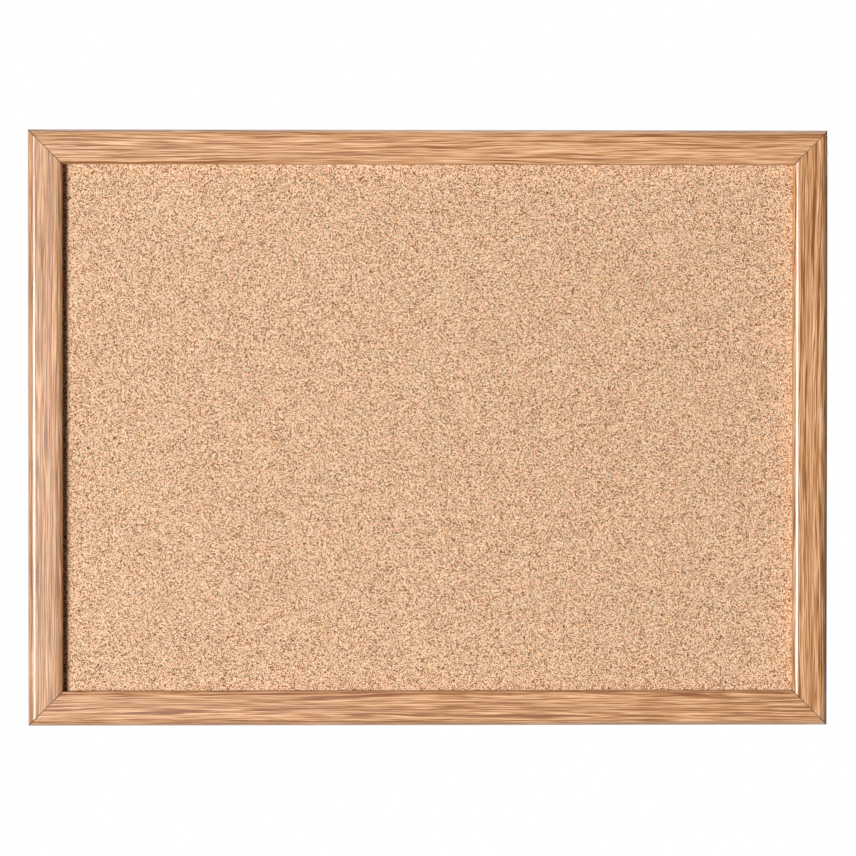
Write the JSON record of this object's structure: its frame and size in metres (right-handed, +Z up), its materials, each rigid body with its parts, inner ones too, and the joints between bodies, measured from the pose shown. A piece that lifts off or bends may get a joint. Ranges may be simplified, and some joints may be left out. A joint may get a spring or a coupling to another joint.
{
  "type": "pinboard",
  "caption": "Framed cork pinboard: mitred oak-look rails round a recessed cork panel, hung by swinging D-rings on the back.",
  "frame": {"origin": "on the wall plane, midway between the two wall hooks, at the height where the hanger rings bear on them when they stand straight up", "axes": "+X to the right of someone facing the board, +Y from the room into the wall, +Z up"},
  "size_m": [0.6, 0.0275, 0.447],
  "materials": {
    "oak_foil": "printed oak-grain foil with a satin lacquer, wrapped round fibreboard",
    "cork": "fine granulated cork, sanded, unsealed",
    "softboard": "pressed wood-fibre softboard, raw",
    "hardboard": "brown hardboard, smooth face, raw",
    "zinc_steel": "zinc-plated steel strip, dull",
    "nickel_steel": "nickel-plated steel, polished",
    "felt": "dark wool felt pad"
  },
  "bodies": {
    "board": {"top_rail": "oak_foil", "bottom_rail": "oak_foil", "left_rail": "oak_foil", "right_rail": "oak_foil", "cork_sheet": "cork", "softboard_core": "softboard", "hardboard_back": "hardboard", "top_retaining_point_1": "zinc_steel", "top_retaining_point_2": "zinc_steel", "top_retaining_point_3": "zinc_steel", "top_retaining_point_4": "zinc_steel", "bottom_retaining_point_1": "zinc_steel", "bottom_retaining_point_2": "zinc_steel", "bottom_retaining_point_3": "zinc_steel", "bottom_retaining_point_4": "zinc_steel", "left_retaining_point_1": "zinc_steel", "left_retaining_point_2": "zinc_steel", "left_retaining_point_3": "zinc_steel", "right_retaining_point_1": "zinc_steel", "right_retaining_point_2": "zinc_steel", "right_retaining_point_3": "zinc_steel", "top_left_outer_corner_nail": "zinc_steel", "top_left_inner_corner_nail": "zinc_steel", "top_right_outer_corner_nail": "zinc_steel", "top_right_inner_corner_nail": "zinc_steel", "bottom_left_outer_corner_nail": "zinc_steel", "bottom_left_inner_corner_nail": "zinc_steel", "bottom_right_outer_corner_nail": "zinc_steel", "bottom_right_inner_corner_nail": "zinc_steel", "left_hanger_strap": "nickel_steel", "right_hanger_strap": "nickel_steel", "left_hanger_screw": "nickel_steel", "right_hanger_screw": "nickel_steel", "left_bumper": "felt", "right_bumper": "felt"},
    "left_ring": {"left_hanger_ring": "nickel_steel"},
    "right_ring": {"right_hanger_ring": "nickel_steel"}
  },
  "joints": [
    {"name": "left_ring_swing", "type": "hinge", "parent": "board", "child": "left_ring", "pos_m": [-0.2915, -0.0021, -0.01], "axis": [-1, 0, 0], "range_deg": [0, 180]},
    {"name": "right_ring_swing", "type": "hinge", "parent": "board", "child": "right_ring", "pos_m": [0.2915, -0.0021, -0.01], "axis": [-1, 0, 0], "range_deg": [0, 180]}
  ]
}
